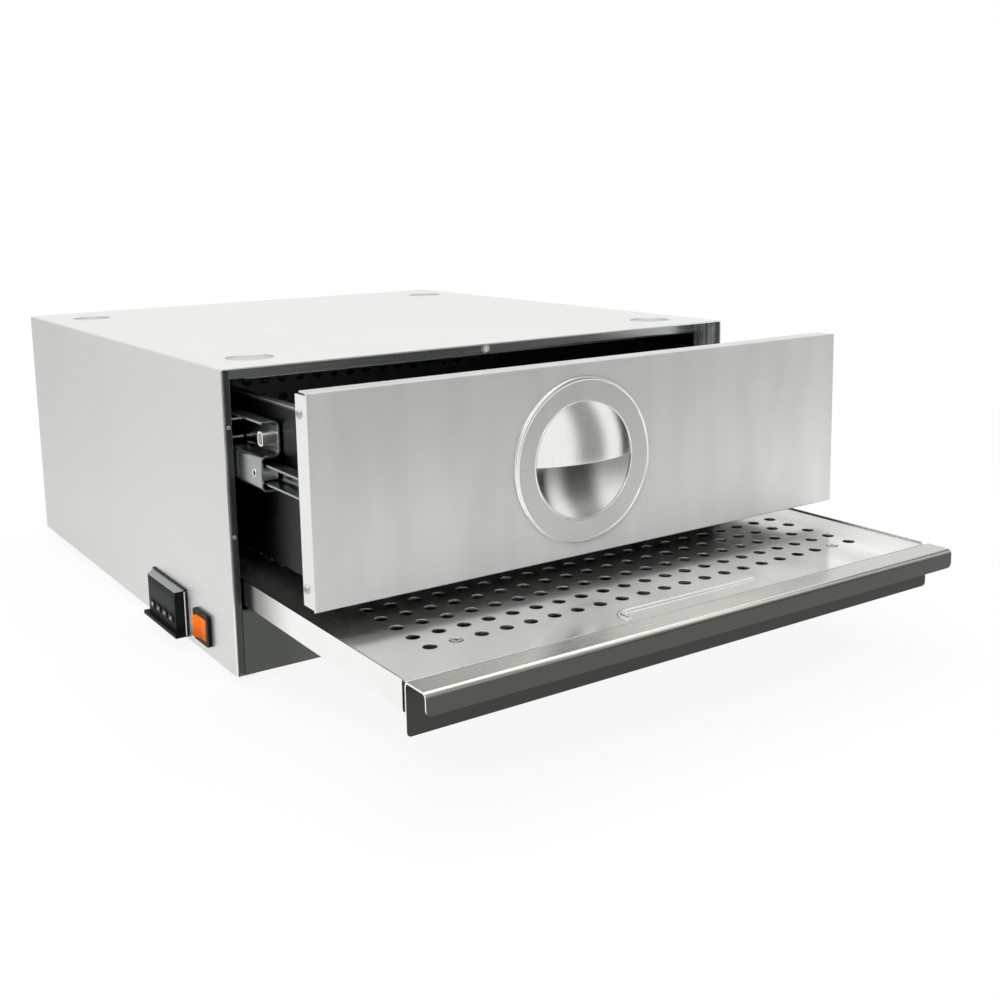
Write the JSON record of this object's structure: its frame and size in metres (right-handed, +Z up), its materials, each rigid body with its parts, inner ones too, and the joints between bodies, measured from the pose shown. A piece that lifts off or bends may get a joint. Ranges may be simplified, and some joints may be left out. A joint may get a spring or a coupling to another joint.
{
  "type": "heated drawer cabinet",
  "caption": "Low stainless-steel countertop warming cabinet with a deep drawer on telescopic slides, a shallow perforated tray below, and a controller and rocker switch on its side.",
  "frame": {"origin": "on the bench, under the middle of the cabinet's case", "axes": "+X to the right as seen from the front, +Y to the back, +Z up"},
  "size_m": [0.4905, 0.802, 0.236],
  "materials": {
    "case_steel": "fine straight brushing",
    "frame_steel": "satin",
    "liner_steel": "mill finish",
    "front_steel": "fine straight brushing",
    "pull_steel": "polished",
    "tray_steel": "polished sheet",
    "slide_zinc": "bright zinc",
    "screw_steel": "bright",
    "heater_steel": "heat-darkened",
    "terminal_brass": "bright",
    "foot_rubber": "matte",
    "insulation": "rigid mineral fibre",
    "black_plastic": "fine grain",
    "charcoal_plastic": "fine grain",
    "button_plastic": "satin",
    "window_plastic": "gloss",
    "amber_plastic": "lit, gloss",
    "block_plastic": "matte",
    "switch_plastic": "matte"
  },
  "bodies": {
    "cabinet": {"outer_wrap": "case_steel", "base_pan": "liner_steel", "rubber_feet": "foot_rubber", "foot_screws": "screw_steel", "front_header": "frame_steel", "left_stile": "frame_steel", "right_stile": "frame_steel", "front_sill": "frame_steel", "frame_screws": "screw_steel", "rear_panel": "case_steel", "rear_screws": "screw_steel", "cable_gland": "black_plastic", "gland_nut": "black_plastic", "liner_left": "liner_steel", "liner_right": "liner_steel", "liner_top": "liner_steel", "deck_panel": "liner_steel", "side_insulation": "insulation", "top_insulation": "insulation", "rear_baffle": "liner_steel", "heating_element": "heater_steel", "heater_terminals": "terminal_brass", "heater_clips": "slide_zinc", "temperature_probe": "screw_steel", "high_limit_switch": "switch_plastic", "terminal_block": "block_plastic", "controller_bezel": "charcoal_plastic", "controller_window": "window_plastic", "controller_case": "black_plastic", "rocker_housing": "black_plastic", "slide_cabinet_left": "slide_zinc", "slide_cabinet_right": "slide_zinc", "tray_glides": "slide_zinc"},
    "drawer": {"drawer_front": "front_steel", "drawer_backer": "front_steel", "drawer_screws": "screw_steel", "pull_hood": "pull_steel", "pull_cup": "pull_steel", "drawer_side_left": "liner_steel", "drawer_side_right": "liner_steel", "drawer_floor": "liner_steel", "drawer_back": "liner_steel", "front_brackets": "slide_zinc", "slide_drawer_left": "slide_zinc", "slide_drawer_right": "slide_zinc"},
    "slide_middle": {"slide_middle_left": "slide_zinc", "slide_middle_right": "slide_zinc"},
    "cages_fixed": {"ball_cages_fixed": "slide_zinc"},
    "cages_drawer": {"ball_cages_drawer": "slide_zinc"},
    "tray": {"tray_pan": "tray_steel", "tray_back": "tray_steel", "tray_front": "tray_steel", "tray_insert": "tray_steel", "insert_pins": "screw_steel"},
    "rocker": {"rocker_paddle": "amber_plastic"},
    "button_1": {"button_1": "button_plastic"},
    "button_2": {"button_2": "button_plastic"},
    "button_3": {"button_3": "button_plastic"},
    "button_4": {"button_4": "button_plastic"}
  },
  "joints": [
    {"name": "drawer_slide", "type": "slide", "parent": "cabinet", "child": "drawer", "axis": [0, -1, 0], "range_m": [-0.1165, 0.27]},
    {"name": "slide_middle_travel", "type": "slide", "parent": "cabinet", "child": "slide_middle", "axis": [0, -1, 0], "range_m": [-0.05825, 0.135]},
    {"name": "cages_fixed_travel", "type": "slide", "parent": "cabinet", "child": "cages_fixed", "axis": [0, -1, 0], "range_m": [-0.02913, 0.0675]},
    {"name": "cages_drawer_travel", "type": "slide", "parent": "cabinet", "child": "cages_drawer", "axis": [0, -1, 0], "range_m": [-0.08737, 0.2025]},
    {"name": "tray_slide", "type": "slide", "parent": "cabinet", "child": "tray", "axis": [0, -1, 0], "range_m": [-0.2332, 0.11]},
    {"name": "rocker_hinge", "type": "hinge", "parent": "cabinet", "child": "rocker", "pos_m": [-0.235, -0.202, 0.03], "axis": [0, 0, 1], "range_deg": [-16, 0]},
    {"name": "button_1_press", "type": "slide", "parent": "cabinet", "child": "button_1", "axis": [1, 0, 0], "range_m": [0, 0.0008], "stiffness_N_per_m": 400},
    {"name": "button_2_press", "type": "slide", "parent": "cabinet", "child": "button_2", "axis": [1, 0, 0], "range_m": [0, 0.0008], "stiffness_N_per_m": 400},
    {"name": "button_3_press", "type": "slide", "parent": "cabinet", "child": "button_3", "axis": [1, 0, 0], "range_m": [0, 0.0008], "stiffness_N_per_m": 400},
    {"name": "button_4_press", "type": "slide", "parent": "cabinet", "child": "button_4", "axis": [1, 0, 0], "range_m": [0, 0.0008], "stiffness_N_per_m": 400}
  ],
  "couplings": [
    {"joint": "slide_middle_travel", "follows": "drawer_slide", "ratio": 0.5},
    {"joint": "cages_fixed_travel", "follows": "drawer_slide", "ratio": 0.25},
    {"joint": "cages_drawer_travel", "follows": "drawer_slide", "ratio": 0.75}
  ]
}
